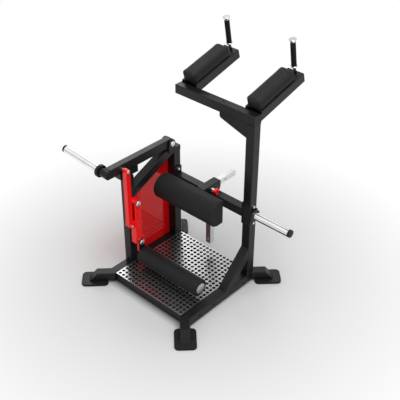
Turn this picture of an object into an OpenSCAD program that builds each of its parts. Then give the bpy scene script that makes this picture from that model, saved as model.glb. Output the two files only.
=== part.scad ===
// Standing hamstring curl machine, plate loaded.
// Millimetres. +X is the user's right, +Y the way the user faces, +Z up.
// The origin is on the floor, under the middle of the base.

/* [Frame tube] */
// Outer width of the square frame tube
tube = 60; // [50:1:70]
// Wall of the frame tube
tube_wall = 3; // [2:0.5:5]
// Outer corner radius of the frame tube
tube_r = 5; // [4:0.5:8]
// Thickness of flange, ear and gusset plates
plate_t = 6; // [5:1:8]

/* [Base] */
// Width of the tread plate between the side tubes
deck_w = 580; // [560:10:640]
// Length of the base, front face to rear face
base_l = 610; // [600:10:660]
// Thickness of the tread plate
deck_t = 3; // [2:0.5:5]
// Diameter of a hole in the tread plate
deck_hole_d = 22; // [12:0.5:24]
// Spacing of the holes in the tread plate
deck_pitch = 30; // [28:1:40]
// Least distance from a plate edge to a hole centre
deck_margin = 18; // [14:1:30]

/* [Feet] */
// Length of a leg's top face from the corner of the base
leg_top_l = 102; // [80:1:140]
// How much further the leg's lower edge reaches
leg_slope_l = 51; // [30:1:70]
// Distance from the corner of the base to the foot
foot_start = 31; // [20:1:40]
// Length of a foot
foot_l = 172; // [140:1:200]
// Width of a foot
foot_w = 134; // [110:1:160]
// Corner radius of a foot
foot_r = 28; // [15:1:40]
// Width of the rubber rim around the foot plate
foot_rim = 6; // [4:1:10]
// Thickness of the rubber under the foot plate
foot_rubber = 6; // [4:1:10]
// Thickness of the steel foot plate
foot_plate_t = 6; // [4:1:8]
// Diameter of a floor bolt hole
anchor_d = 11; // [9:0.5:14]
// Distance from the foot's start to its bolt holes
anchor_from_start = 84; // [60:1:110]
// Distance between the two bolt holes of a foot
anchor_span = 84; // [76:1:100]

/* [Posts] */
// Distance from the front of the base to the front post
front_post_gap = 139; // [100:1:160]
// Height of the front post above the tread surface
front_post_l = 655; // [640:1:680]
// Distance from the lever pivot down to the top of the diagonal brace
brace_top_drop = 43; // [36:1:50]
// Height of the right upright above the tread surface
upright_l = 1088; // [1000:10:1200]
// Height of the middle crossbar's centre above the tread surface
crossbar_h = 467; // [440:1:500]
// Rise of the diagonal brace per unit of length
brace_rise = 0.45; // [0.4:0.01:0.5]
// Distance from the front post's top down to where the brace meets it
brace_drop = 121; // [105:1:135]
// Height where the lower right brace meets the upright
low_brace_h = 175; // [150:1:250]
// Thickness of the rubber bumper on the front post
bumper_t = 8; // [5:1:12]

/* [Side panel] */
// Thickness of the side panel
panel_t = 3; // [2:0.5:4]
// Overlap of the side panel on the tubes around it
panel_lap = 20; // [15:1:28]
// Diameter of a panel screw's head
panel_screw_d = 12; // [8:1:14]

/* [Lever] */
// Width of the lever tube
lever_w = 50; // [44:1:54]
// Height of the lever tube
lever_h = 60; // [50:1:64]
// Distance from the lever pivot to the lever's front end
lever_reach = 498; // [480:1:520]
// Distance from the lever pivot to the link's pin
lever_pin_r = 418; // [400:1:430]
// Height of the stop block under the lever
block_h = 42.7; // [36:0.1:52]
// Distance from the rear of the base to the lever pivot
lever_pivot_gap = 79; // [70:1:90]
// Radius of the bracket ears around the pivot
ear_r = 28; // [26:1:32]
// Depth of the bracket plates below the brace's top
ear_drop = 20; // [16:1:30]
// Length of the stop block under the lever
block_l = 145; // [120:1:160]
// Distance from the front post's front face to the block's front
block_lead = 44; // [30:1:60]

/* [Weight horns] */
// Diameter of a weight sleeve
sleeve_d = 50; // [48:0.5:50]
// Length of the lever's weight sleeve
lever_sleeve_l = 300; // [250:1:350]
// Upward tilt of the lever's weight horn, in degrees
horn_tilt = 4; // [0:0.5:8]
// Diameter of the lever's horn boss
boss_d = 54; // [50:1:58]
// Length of the horn boss outside the lever
boss_l = 15; // [12:1:40]
// Diameter of a horn collar
collar_d = 80; // [76:1:86]
// Length of the lever horn's collar
collar_l = 20; // [15:1:30]
// Length of the storage horn's collar
storage_collar_l = 9; // [8:1:20]
// Length of the storage horn's weight sleeve
storage_sleeve_l = 255; // [200:1:300]
// Length of a sleeve's end cap outside the sleeve
cap_l = 16; // [10:1:20]

/* [Curl arm] */
// Width of the curl arm's square tube
arm_w = 50; // [46:1:54]
// Height of the knee pivot above the tread surface
knee_h = 485; // [470:1:500]
// Distance from the knee pivot down to the arm tube's lower end
arm_drop = 307; // [290:1:330]
// Running gap between the frame, the arm and the link bar
side_gap = 5; // [4:0.5:8]
// Width of the slot in the arm's front wall
slot_w = 34; // [20:1:38]
// Distance from the knee pivot down to the slot's lower end
slot_drop = 130; // [60:1:140]
// Distance of the lug pin in front of the knee pivot
lug_out = 56; // [50:1:60]
// Distance of the lug pin below the knee pivot
lug_drop = 147; // [140:1:160]
// Thickness of a lug
lug_t = 8; // [6:1:8]
// Radius of a lug around its pin
lug_r = 15; // [13:1:18]
// Width of the link bar
link_w = 32; // [28:1:33]

/* [Ankle roller] */
// Diameter of the foam roller
roller_d = 116; // [90:1:120]
// Length of the foam roller
roller_l = 500; // [450:5:510]
// Height of the roller's axis above the tread surface
roller_h = 86; // [80:1:100]
// Distance of the roller's axis behind the knee pivot
roller_back = 15; // [5:1:25]
// Diameter of the roller's fixed axle
roller_axle_d = 20; // [16:1:25]
// Outer diameter of the roller's turning tube
roller_tube_d = 38; // [32:1:48]
// Diameter of the roller's end cap
roller_cap_d = 70; // [60:1:84]
// Thickness of the roller's end cap
roller_cap_t = 4; // [3:0.5:6]

/* [Pivots] */
// Diameter of the two large pivot shafts
shaft_d = 20; // [16:1:24]
// Diameter of a large pivot's head
head_d = 38; // [34:1:40]
// Thickness of a large pivot's head
head_t = 8; // [6:1:9]
// Diameter of the link's pins
pin_d = 12; // [10:1:14]
// Wall of a pivot bush
bush_wall = 3; // [2:0.5:4]
// Radial running clearance in a pivot
run_gap = 0.05; // [0.03:0.01:0.09]
// Gap between faces that slide past each other
face_gap = 0.3; // [0.2:0.1:0.5]

/* [Thigh pad] */
// Length of the thigh pad
thigh_l = 484; // [440:2:500]
// Height of the thigh pad
thigh_h = 170; // [150:2:180]
// Depth of the thigh pad, front to back
thigh_depth = 120; // [105:1:130]
// Distance from the middle crossbar's front face to the pad's back
thigh_gap = 120; // [105:1:130]
// Height of the thigh pad's centre above the middle crossbar's centre
thigh_rise = 49; // [40:1:60]
// Width of the vertical chrome mast
mast_w = 40; // [36:1:44]
// Distance from the middle crossbar's centre to the mast's lower end
mast_drop = 386; // [340:1:400]
// Width of the horizontal chrome tube behind the pad
depth_tube_w = 38; // [34:1:40]
// Length of the horizontal chrome tube
depth_tube_l = 365; // [340:1:400]
// Width of the horizontal sleeve
slide_w = 60; // [56:1:64]
// Height of the horizontal sleeve
slide_h = 50; // [50:1:56]
// Length of the horizontal sleeve
slide_l = 150; // [130:1:160]
// Spacing of the setting holes
set_pitch = 48.5; // [40:0.5:50]
// Diameter of a setting hole
set_hole_d = 11; // [10:0.5:13]
// Diameter of a pop pin's knob
knob_d = 46; // [36:1:48]

/* [Forearm rest] */
// Length of the top crossbar
top_bar_l = 618; // [590:1:640]
// Width of a forearm arm
rest_w = 120; // [110:1:130]
// Length of a forearm arm
rest_l = 397; // [380:1:420]
// Upward slope of the forearm arms, in degrees
rest_tilt = 15; // [10:1:18]
// Height of an arm's start above the crossbar's top
rest_lift = 13; // [8:1:16]
// Length of a forearm pad
rest_pad_l = 336; // [300:1:340]
// Width of a forearm pad at its top
rest_pad_w = 100; // [90:1:110]
// Thickness of a forearm pad
rest_pad_t = 57; // [50:1:70]
// Overhang of a forearm pad over the crossbar
rest_pad_over = 3; // [0:1:6]
// Thickness of the board under a forearm pad
board_t = 5; // [4:1:10]
// Width of the gusset plate under the top crossbar
gusset_w = 206; // [160:1:220]
// Depth of the gusset plate at the upright
gusset_h = 94; // [70:1:120]

/* [Handles] */
// Diameter of a handle rod
rod_d = 16; // [12:1:18]
// Diameter of a rubber grip
grip_d = 33; // [28:1:36]
// Length of a rubber grip
grip_l = 159; // [130:1:170]
// Backward lean of a grip, in degrees
grip_lean = 10.5; // [0:0.5:15]
// Diameter of the bright cap on a grip
grip_cap_d = 45; // [38:1:50]

/* [Hidden] */
$fn = 48;

// Shared places
half_w = deck_w / 2;
side_x = half_w + tube / 2;
outer_x = half_w + tube;
front_y = -base_l / 2;
rear_y = base_l / 2;
base_low = foot_rubber + foot_plate_t;
deck_h = base_low + tube;
post_y = rear_y - tube / 2;
post_face = rear_y - tube;
front_post_y = front_y + front_post_gap + tube / 2;
crossbar_z = deck_h + crossbar_h;
crossbar_top = crossbar_z + tube / 2;
front_post_top = deck_h + front_post_l;
block_low = front_post_top + bumper_t + face_gap;
pivot_z = block_low + block_h + lever_h / 2;
brace_top = pivot_z - brace_top_drop;
brace_start_z = front_post_top - brace_drop;
brace_angle = atan(brace_rise);
brace_run = post_face - front_post_y - tube / 2;
brace_end_low = brace_start_z + brace_rise * brace_run - tube / 2 / cos(brace_angle);
leg_angle = 45;

// Lever, link and curl arm
pivot_y = rear_y - lever_pivot_gap;
lever_front = pivot_y - lever_reach;
lever_side = side_x - lever_w / 2;
lever_low = pivot_z - lever_h / 2;
pin_y = pivot_y - lever_pin_r;
knee_y = front_post_y;
knee_z = deck_h + knee_h;
arm_x = half_w - side_gap - arm_w / 2;
arm_front = knee_y - arm_w / 2;
arm_low = knee_z - arm_drop;
arm_wall = tube_wall;
lug_y = knee_y - lug_out;
lug_z = knee_z - lug_drop;
shaft_bore = shaft_d / 2 + run_gap;
bush_r = shaft_bore + bush_wall;
hub_r = bush_r + bush_wall;
flange_r = bush_r + 4;
fixed_gap = run_gap;

// Weight horns
boss_y = lever_front - boss_d / 2;
horn_start = lever_side;
collar_start = lever_w + boss_l;
collar_end = collar_start + collar_l;
lever_horn_end = collar_end + lever_sleeve_l;
sleeve_wall = 4;
spigot_d = sleeve_d - 2 * sleeve_wall - 2 * fixed_gap;
spigot_l = 0.15 * lever_sleeve_l;
hub_plate_t = 8;
storage_face = outer_x + hub_plate_t;
storage_start = storage_face + storage_collar_l;
storage_end = storage_start + storage_sleeve_l;
bolt_span = 120;
bolt_d = 12;
bolt_head_d = 19;
bolt_head_t = 7;

// Roller
roller_y = knee_y + roller_back;
roller_z = deck_h + roller_h;
bracket_t = plate_t;
bracket_x = half_w - side_gap - arm_w - bracket_t;
roller_start = -bracket_x + roller_cap_t + 1;
roller_end = roller_start + roller_l;
bracket_r = 22;
bracket_bolt_d = 16;
bracket_bolt_z = arm_low + 2;
bracket_bolt_y = knee_y + 12;

// Thigh pad carriage
pad_back = post_face - thigh_gap;
pad_z = crossbar_z + thigh_rise;
mast_low = crossbar_z - mast_drop;
mast_hole = mast_w / 2 + 0.1;
mast_bush = 4;
slide_low = crossbar_top + face_gap;
slide_z = slide_low + slide_h / 2;
slide_overhang = 0.39 * slide_l;
slide_back = post_y + slide_overhang;
slide_front = slide_back - slide_l;
slide_bush_l = 28;
slide_lip = 3;
mount_t = 6;
depth_tube_end = pad_back + mount_t + depth_tube_l;
pin_core_d = set_hole_d - 1;
pin_travel = 7;
pin_clear = 0.4;
knee_flange = 2;
housing_d = 26;
housing_wall = 3;
spring_d = 16;
spring_wire = 1.5;
knob_l = 22;
depth_housing_l = 28;
height_housing_l = 16;
depth_pin_y = post_y - 25;
height_pin_z = crossbar_z - 14.5;
set_steps = [0, 1, 3, 5, 7];

// Forearm rest
top_bar_low = deck_h + upright_l;
top_bar_top = top_bar_low + tube;
rest_start_z = top_bar_top + rest_lift;
left_end = outer_x - top_bar_l;
right_rest_x = outer_x - rest_w / 2;
left_rest_x = left_end + rest_w / 2;
rest_xs = [left_rest_x, right_rest_x];
end_cap_t = 3;
rod_s = rest_l - 20;
rod_side = 12;
rod_rise = 14;
grip_ring_l = 9;
grip_cap_l = 18;

// Outer limits, which put the origin under the middle of the machine
limit_right = storage_end + cap_l;
horn_out = lever_horn_end + cap_l;
limit_left = -horn_start - horn_out * cos(horn_tilt) - (sleeve_d / 2 - 1) * sin(horn_tilt);
foot_corner_s = foot_start + foot_l - foot_r;
foot_corner_n = foot_w / 2 - foot_r;
limit_front = front_y - (foot_corner_s + foot_corner_n) * sin(leg_angle) - foot_r;
limit_rear = rear_y + rest_l * cos(rest_tilt) + tube * sin(rest_tilt);
centre_x = (limit_left + limit_right) / 2;
centre_y = (limit_front + limit_rear) / 2;

frame_col = [0.13, 0.13, 0.135];
red_col = [0.82, 0.05, 0.05];
chrome_col = [0.85, 0.86, 0.88];
rubber_col = [0.08, 0.08, 0.08];
vinyl_col = [0.15, 0.15, 0.15];

// Outline helpers
module rounded(w, h, r) {
  union() {
    square([w - 2 * r, h], center = true);
    square([w, h - 2 * r], center = true);
    for (i = [-1, 1], j = [-1, 1]) {
      translate([i * (w / 2 - r), j * (h / 2 - r)]) circle(r = r);
    }
  }
}

module tube_outline(w, h, wall) {
  difference() {
    rounded(w, h, tube_r);
    rounded(w - 2 * wall, h - 2 * wall, tube_r - wall);
  }
}

// Placing helpers: an outline or a bore run along one axis
module along_x(x, y, z) {
  translate([x, y, z]) rotate([90, 0, 90]) children();
}

module along_y(x, y, z) {
  translate([x, y, z]) rotate([-90, 0, 0]) children();
}

module rod_x(d, x0, x1, y, z) {
  translate([x0, y, z]) rotate([0, 90, 0]) cylinder(d = d, h = x1 - x0);
}

module ring_x(d, hole, x0, x1, y, z) {
  difference() {
    rod_x(d, x0, x1, y, z);
    rod_x(hole, x0 - 1, x1 + 1, y, z);
  }
}

module rod_y(d, y0, y1, x, z) {
  translate([x, y0, z]) rotate([-90, 0, 0]) cylinder(d = d, h = y1 - y0);
}

module ring_y(d, hole, y0, y1, x, z) {
  difference() {
    rod_y(d, y0, y1, x, z);
    rod_y(hole, y0 - 1, y1 + 1, x, z);
  }
}

module block(x, y, z) {
  translate([x[0], y[0], z[0]]) cube([x[1] - x[0], y[1] - y[0], z[1] - z[0]]);
}

// An outline drawn in the YZ plane, given a thickness along X
module yz_plate(x, t) {
  translate([x, 0, 0]) rotate([90, 0, 90]) linear_extrude(t) children();
}

// Direction of a tangent from the point p to a circle of radius r at the origin
function tangent(p, r, side) = atan2(p[1], p[0]) + side * acos(r / norm(p));

function on_circle(r, a) = [r * cos(a), r * sin(a)];

// Everything is drawn about the middle of the base, then moved to the origin
module placed() {
  translate([-centre_x, -centre_y, 0]) children();
}

// Base
module at_corners() {
  for (i = [-1, 1], j = [-1, 1]) {
    translate([i * side_x, j * rear_y, 0])
      rotate([0, 0, atan2(j * sin(leg_angle), i * cos(leg_angle))])
      mirror([0, i * j < 0 ? 1 : 0, 0]) children();
  }
}

mitre = tube / 2 * tan(leg_angle / 2);
access_hole_d = 13;
access_ys = [-2 / 3 * rear_y, -1 / 4 * rear_y, 1 / 4 * rear_y, 2 / 3 * rear_y];

module side_tube(side) {
  difference() {
    along_y(side * side_x, front_y - mitre, base_low + tube / 2)
      linear_extrude(base_l + 2 * mitre) tube_outline(tube, tube, tube_wall);
    for (j = [-1, 1]) {
      translate([side * side_x, j * rear_y, base_low - 1])
        rotate([0, 0, j * side * -leg_angle / 2])
        translate([-tube, j > 0 ? 0 : -tube, 0]) cube([2 * tube, tube, tube + 2]);
    }
    for (y = access_ys) {
      rod_x(access_hole_d, side * outer_x - tube_wall - 1, side * outer_x + tube_wall + 1,
        y, base_low + tube / 2);
    }
    if (side < 0) panel_screw_bores();
  }
}

module side_tubes() {
  color(frame_col) {
    side_tube(-1);
    side_tube(1);
  }
}

module cross_tubes() {
  z = deck_h - deck_t - tube / 2;
  color(frame_col) for (y = [front_y + tube / 2, post_y]) {
    along_x(-half_w, y, z) linear_extrude(deck_w) tube_outline(tube, tube, tube_wall);
  }
}

// Everything beyond a leg's sloped end, in the leg's own upright plane
module leg_end_cut(shift, low, high) {
  slope = leg_slope_l / tube;
  reach = leg_top_l + leg_slope_l + tube;
  translate([0, tube, 0]) rotate([90, 0, 0]) linear_extrude(2 * tube)
    polygon([
      [leg_top_l + shift - slope, high + 1],
      [reach, high + 1],
      [reach, low - 1],
      [leg_top_l + leg_slope_l + shift + slope, low - 1]
    ]);
}

module leg() {
  run = leg_top_l + leg_slope_l;
  centre_z = base_low + tube / 2;
  difference() {
    along_x(-mitre, 0, centre_z) linear_extrude(run + mitre) rounded(tube, tube, tube_r);
    difference() {
      along_x(-2 * mitre, 0, centre_z) linear_extrude(run + 2 * mitre)
        rounded(tube - 2 * tube_wall, tube - 2 * tube_wall, tube_r - tube_wall);
      leg_end_cut(-1.4 * tube_wall, base_low, deck_h);
    }
    leg_end_cut(0, base_low, deck_h);
    translate([0, 0, base_low - 1]) rotate([0, 0, -90 + leg_angle / 2])
      translate([-tube, -tube, 0]) cube([2 * tube, tube, tube + 2]);
  }
}

module leg_tubes() {
  color(frame_col) at_corners() leg();
}

module foot_outline(inset) {
  translate([foot_start + foot_l / 2, 0])
    rounded(foot_l - 2 * inset, foot_w - 2 * inset, foot_r - inset);
}

module anchor_holes() {
  for (n = [-1, 1]) {
    translate([foot_start + anchor_from_start, n * anchor_span / 2, -1])
      cylinder(d = anchor_d, h = base_low + 2);
  }
}

module foot_plates() {
  color([0.2, 0.2, 0.2]) at_corners() difference() {
    translate([0, 0, foot_rubber]) linear_extrude(foot_plate_t) foot_outline(foot_rim);
    anchor_holes();
  }
}

module foot_pads() {
  color(rubber_col) at_corners() difference() {
    linear_extrude(base_low) foot_outline(0);
    translate([0, 0, foot_rubber]) linear_extrude(foot_plate_t + 1) foot_outline(foot_rim);
    anchor_holes();
  }
}

module tread_plate() {
  w = deck_w - 1;
  l = base_l - 4;
  columns = floor((w - 2 * deck_margin) / deck_pitch);
  rows = floor((l - 2 * deck_margin) / deck_pitch);
  color(chrome_col) translate([0, front_y + l / 2, deck_h - deck_t]) linear_extrude(deck_t)
    difference() {
      square([w, l], center = true);
      for (i = [0 : columns], j = [0 : rows]) {
        translate([(i - columns / 2) * deck_pitch, (j - rows / 2) * deck_pitch])
          circle(d = deck_hole_d);
      }
    }
}

// Posts and braces
module closed_post(x, y, low, high) {
  difference() {
    translate([x, y, low]) linear_extrude(high - low) rounded(tube, tube, tube_r);
    translate([x, y, low - 1]) linear_extrude(high - low + 1 - tube_wall)
      rounded(tube - 2 * tube_wall, tube - 2 * tube_wall, tube_r - tube_wall);
  }
}

module front_left_post() {
  color(frame_col) difference() {
    closed_post(-side_x, front_post_y, deck_h, front_post_top);
    rod_x(shaft_d + 2 * fixed_gap, -outer_x - 1, -half_w + 1, knee_y, knee_z);
    panel_screw_bores();
  }
}

module post_bumper() {
  color(rubber_col) translate([-side_x, front_post_y, front_post_top])
    linear_extrude(bumper_t) rounded(tube - 6, tube - 6, tube_r);
}

module rear_left_post() {
  color(frame_col) difference() {
    closed_post(-side_x, post_y, deck_h, brace_end_low);
    flange_bolt_bores(-outer_x - 1, -half_w + 1);
    panel_screw_bores();
  }
}

// A tube run on a slope in the YZ plane, through the point (y, z)
module sloped_bar(x, y, z, angle, back, ahead, inset) {
  translate([x, y, z]) rotate([angle, 0, 0]) along_y(0, -back, 0)
    linear_extrude(back + ahead) rounded(tube - 2 * inset, tube - 2 * inset, tube_r - inset);
}

// The brace lies on the rear post and ends in a level piece over it
module diagonal_brace() {
  start_y = front_post_y + tube / 2;
  run = (rear_y - start_y) / cos(brace_angle);
  x_span = [-outer_x - 1, -half_w + 1];
  color(frame_col) difference() {
    union() {
      sloped_bar(-side_x, start_y, brace_start_z, brace_angle, tube, run + tube, 0);
      block([-outer_x, -half_w], [post_face, rear_y], [brace_end_low, brace_top]);
    }
    difference() {
      sloped_bar(-side_x, start_y, brace_start_z, brace_angle, 2 * tube, run + 2 * tube, tube_wall);
      block(x_span, [start_y, rear_y + tube], [brace_top - tube_wall, pivot_z + 2 * tube]);
      block(x_span, [rear_y - tube_wall, rear_y + 3 * tube], [deck_h, pivot_z + 2 * tube]);
    }
    block(x_span, [start_y - 2 * tube, start_y], [deck_h, pivot_z]);
    block(x_span, [rear_y, rear_y + 3 * tube], [deck_h, pivot_z + 2 * tube]);
    block(x_span, [start_y, rear_y + tube], [brace_top, pivot_z + 3 * tube]);
  }
}

module lower_brace() {
  meet_z = deck_h + low_brace_h;
  x_span = [half_w - 1, outer_x + 1];
  color(frame_col) difference() {
    sloped_bar(side_x, post_face, meet_z, leg_angle, 2 * meet_z, tube, 0);
    sloped_bar(side_x, post_face, meet_z, leg_angle, 2 * meet_z + 1, tube + 1, tube_wall);
    block(x_span, [post_face, post_face + 2 * tube], [0, 2 * meet_z]);
    block(x_span, [front_y - 2 * tube - meet_z, post_face], [-2 * meet_z, deck_h]);
  }
}

module right_upright() {
  color(frame_col) difference() {
    translate([side_x, post_y, deck_h]) linear_extrude(upright_l)
      tube_outline(tube, tube, tube_wall);
    flange_bolt_bores(half_w - 1, outer_x + 1);
  }
}

// Side panel and its screws
panel_low = deck_h - panel_lap;
panel_front = front_post_y + tube / 2 - panel_lap;
panel_rear = post_face + panel_lap;
panel_top = brace_end_low - panel_lap;
screw_d = 5;
screw_head_t = 3;

function brace_z(y) = brace_start_z + brace_rise * (y - front_post_y - tube / 2);

front_screw_y = panel_front + panel_lap / 2;
rear_screw_y = panel_rear - panel_lap / 2;
low_screw_z = panel_low + panel_lap / 2;
panel_screws = concat(
  [for (k = [0 : 2]) [front_screw_y, deck_h + (0.1 + 0.4 * k) * (brace_start_z - deck_h)]],
  [for (k = [0 : 2]) [rear_screw_y, deck_h + (0.1 + 0.4 * k) * (panel_top - deck_h)]],
  [for (k = [1 : 3]) [front_screw_y + k * (rear_screw_y - front_screw_y) / 4, low_screw_z]]
);

module panel_screw_bores() {
  for (p = panel_screws) {
    rod_x(screw_d + 2 * fixed_gap, -outer_x - panel_t - 1, -outer_x + tube_wall + 1, p[0], p[1]);
  }
}

module side_panel() {
  color(red_col) difference() {
    yz_plate(-outer_x - panel_t, panel_t) polygon([
      [panel_front, panel_low],
      [panel_rear, panel_low],
      [panel_rear, panel_top],
      [front_post_y + tube / 2 + (panel_top - brace_start_z) / brace_rise, panel_top],
      [panel_front, brace_z(panel_front)]
    ]);
    panel_screw_bores();
  }
}

module panel_screw_set() {
  for (p = panel_screws) {
    rod_x(panel_screw_d, -outer_x - panel_t - screw_head_t, -outer_x - panel_t, p[0], p[1]);
    rod_x(screw_d, -outer_x - panel_t - 1, -outer_x + tube_wall, p[0], p[1]);
  }
}

// Bracket and shafts of the pivots
module ear_outline() {
  union() {
    translate([pivot_y, pivot_z]) circle(r = ear_r);
    translate([pivot_y - ear_r, brace_top - ear_drop])
      square([2 * ear_r, pivot_z - brace_top + ear_drop]);
  }
}

module lever_bracket() {
  color(frame_col) difference() {
    for (x = [-outer_x - plate_t, -half_w]) yz_plate(x, plate_t) ear_outline();
    rod_x(shaft_d + 2 * fixed_gap, -outer_x - plate_t - 1, -half_w + plate_t + 1,
      pivot_y, pivot_z);
  }
}

// A domed bolt head of a large pivot, on a face at x, standing out along the side given
module pivot_head(x, side, y, z) {
  translate([x, y, z]) rotate([0, side * 90, 0]) rotate_extrude() polygon([
    [0, 0],
    [head_d / 2, 0],
    [head_d / 2, head_t - 3],
    [head_d / 2 - 3, head_t],
    [0, head_t]
  ]);
}

module pivot_shafts() {
  ear_right = -half_w + plate_t;
  ear_left = -outer_x - plate_t;
  arm_right = -arm_x + arm_w / 2 + knee_flange + face_gap;
  color(chrome_col) {
    rod_x(shaft_d, ear_left - 1, ear_right + 1, pivot_y, pivot_z);
    pivot_head(ear_right, 1, pivot_y, pivot_z);
    pivot_head(ear_left, -1, pivot_y, pivot_z);
    rod_x(shaft_d, -outer_x, arm_right + 1, knee_y, knee_z);
    pivot_head(arm_right, 1, knee_y, knee_z);
  }
}

// Middle crossbar with its flanges and bolts
module flange_bolt_bores(x0, x1) {
  for (k = [-1, 1]) {
    rod_x(bolt_d + 2 * fixed_gap, x0, x1, post_y, crossbar_z + k * bolt_span / 2);
  }
}

module mid_crossbar() {
  run = deck_w - 2 * hub_plate_t;
  bush = mast_w + 2 * mast_bush;
  color(frame_col) difference() {
    along_x(-run / 2, post_y, crossbar_z) linear_extrude(run)
      tube_outline(tube, tube, tube_wall);
    block([-bush / 2, bush / 2], [post_y - bush / 2, post_y + bush / 2],
      [crossbar_z - tube, crossbar_z + tube]);
    rod_y(pin_core_d + 2 * fixed_gap, post_face - 1, post_face + tube_wall + 1, 0, height_pin_z);
  }
}

flange_h = bolt_span + 2 * bolt_head_d;

module crossbar_flanges() {
  color(frame_col) difference() {
    for (x = [-half_w, half_w - hub_plate_t]) {
      along_x(x, post_y, crossbar_z) linear_extrude(hub_plate_t) rounded(tube, flange_h, tube_r);
    }
    flange_bolt_bores(-half_w - 1, half_w + 1);
  }
}

module hex_head(x, y, z) {
  translate([x, y, z]) rotate([0, 90, 0]) cylinder(d = bolt_head_d, h = bolt_head_t, $fn = 6);
}

module frame_bolts() {
  inner = half_w - hub_plate_t;
  color(chrome_col) {
    for (k = [-1, 1]) {
      z = crossbar_z + k * bolt_span / 2;
      rod_x(bolt_d, -outer_x - 1, -inner + 1, post_y, z);
      hex_head(-inner, post_y, z);
      hex_head(-outer_x - bolt_head_t, post_y, z);
      rod_x(bolt_d, inner - 1, outer_x + 1, post_y, z);
      hex_head(inner - bolt_head_t, post_y, z);
      hex_head(outer_x, post_y, z);
    }
    panel_screw_set();
  }
}

// Weight horn on the upright
module storage_hub() {
  color(frame_col) difference() {
    union() {
      along_x(outer_x, post_y, crossbar_z) linear_extrude(hub_plate_t)
        rounded(tube, collar_d, tube_r);
      rod_x(collar_d, storage_face, storage_start, post_y, crossbar_z);
      rod_x(spigot_d, storage_start - 1, storage_start + spigot_l, post_y, crossbar_z);
    }
    rod_x(spigot_d - 2 * sleeve_wall, storage_face, storage_start + spigot_l + 1,
      post_y, crossbar_z);
  }
}

module storage_sleeve() {
  color(chrome_col) ring_x(sleeve_d, sleeve_d - 2 * sleeve_wall, storage_start, storage_end,
    post_y, crossbar_z);
}

// A plug that closes a weight sleeve, along +Z from the sleeve's end
module sleeve_plug() {
  rotate_extrude() polygon([
    [0, -1.5 * cap_l],
    [sleeve_d / 2 - sleeve_wall - fixed_gap, -1.5 * cap_l],
    [sleeve_d / 2 - sleeve_wall - fixed_gap, 0],
    [sleeve_d / 2 - 0.5, 0],
    [sleeve_d / 2 - 0.5, cap_l - 1],
    [sleeve_d / 2 - 1.5, cap_l],
    [0, cap_l]
  ]);
}

module storage_cap() {
  color(rubber_col) translate([storage_end, post_y, crossbar_z]) rotate([0, 90, 0])
    sleeve_plug();
}

// Top of the machine
module tube_plug(w, h, wall, depth) {
  linear_extrude(depth)
    rounded(w - 2 * wall - 2 * fixed_gap, h - 2 * wall - 2 * fixed_gap, tube_r - wall);
}

plug_l = 12;
bar_hole_d = 12;
bar_hole_share = 0.418;

module top_crossbar() {
  z = top_bar_low + tube / 2;
  color(frame_col) difference() {
    along_x(left_end, post_y, z) linear_extrude(top_bar_l) tube_outline(tube, tube, tube_wall);
    translate([outer_x - bar_hole_share * top_bar_l, post_y, z]) cylinder(d = bar_hole_d, h = tube);
  }
}

module gusset_plate() {
  corner_x = half_w - gusset_w;
  color(frame_col) translate([0, post_face + tube_r + plate_t, 0]) rotate([90, 0, 0])
    linear_extrude(plate_t) polygon([
      [corner_x, top_bar_low],
      [corner_x, top_bar_low - 0.26 * gusset_h],
      [corner_x + 0.04 * gusset_w, top_bar_low - 0.38 * gusset_h],
      [half_w - 5, top_bar_low - gusset_h],
      [half_w, top_bar_low - gusset_h],
      [half_w, top_bar_low]
    ]);
}

// The arm's own frame: +Y along the slope from the crossbar, +Z square to its top face
module on_arm(x) {
  translate([x, rear_y, rest_start_z]) rotate([rest_tilt, 0, 0]) children();
}

module forearm_arm(x) {
  difference() {
    on_arm(x) along_y(0, -tube, -tube / 2) linear_extrude(rest_l + tube)
      tube_outline(rest_w, tube, tube_wall);
    block([x - rest_w, x + rest_w], [0, rear_y], [top_bar_low - tube, rest_start_z + tube]);
  }
}

module forearm_arms() {
  color(frame_col) for (x = rest_xs) forearm_arm(x);
}

module tube_end_caps() {
  color(rubber_col) {
    for (x = rest_xs) {
      on_arm(x) along_y(0, rest_l - plug_l, -tube / 2)
        tube_plug(rest_w, tube, tube_wall, plug_l);
    }
    for (x = [left_end, outer_x - plug_l]) {
      along_x(x, post_y, top_bar_low + tube / 2) tube_plug(tube, tube, tube_wall, plug_l);
    }
  }
}

module pad_boards() {
  color(rubber_col) for (x = rest_xs) {
    on_arm(x) translate([0, rest_pad_l / 2 - rest_pad_over, 0]) linear_extrude(board_t)
      rounded(rest_pad_w - 14, rest_pad_l - 16, tube_r);
  }
}

// A closed form through rings of equal length, each a list of points
module ring_form(rings) {
  n = len(rings[0]);
  last = len(rings) - 1;
  sides = [for (k = [0 : last - 1], i = [0 : n - 1])
    [k * n + i, k * n + (i + 1) % n, (k + 1) * n + (i + 1) % n, (k + 1) * n + i]];
  floor_face = [for (i = [n - 1 : -1 : 0]) i];
  top_face = [for (i = [0 : n - 1]) last * n + i];
  polyhedron([for (r = rings) each r], concat([floor_face], sides, [top_face]));
}

// One level of a cushion: an outline with round corners, at the height z
function corner_ring(w, l, r, z, n) = [
  for (q = [[1, 1, 0], [-1, 1, 90], [-1, -1, 180], [1, -1, 270]], i = [0 : n])
    [q[0] * (w / 2 - r) + r * cos(q[2] + i * 90 / n),
     q[1] * (l / 2 - r) + r * sin(q[2] + i * 90 / n), z]
];

// Height share, side inset and end inset of each level of a forearm pad
rest_levels = [[0, 0.05, 0.05], [0.07, 0.01, 0.01], [0.15, 0, 0], [0.78, 0, 0],
  [0.88, 0.03, 0.03], [0.96, 0.1, 0.1], [1, 0.22, 0.22]];
rest_corner_r = 22;

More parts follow.
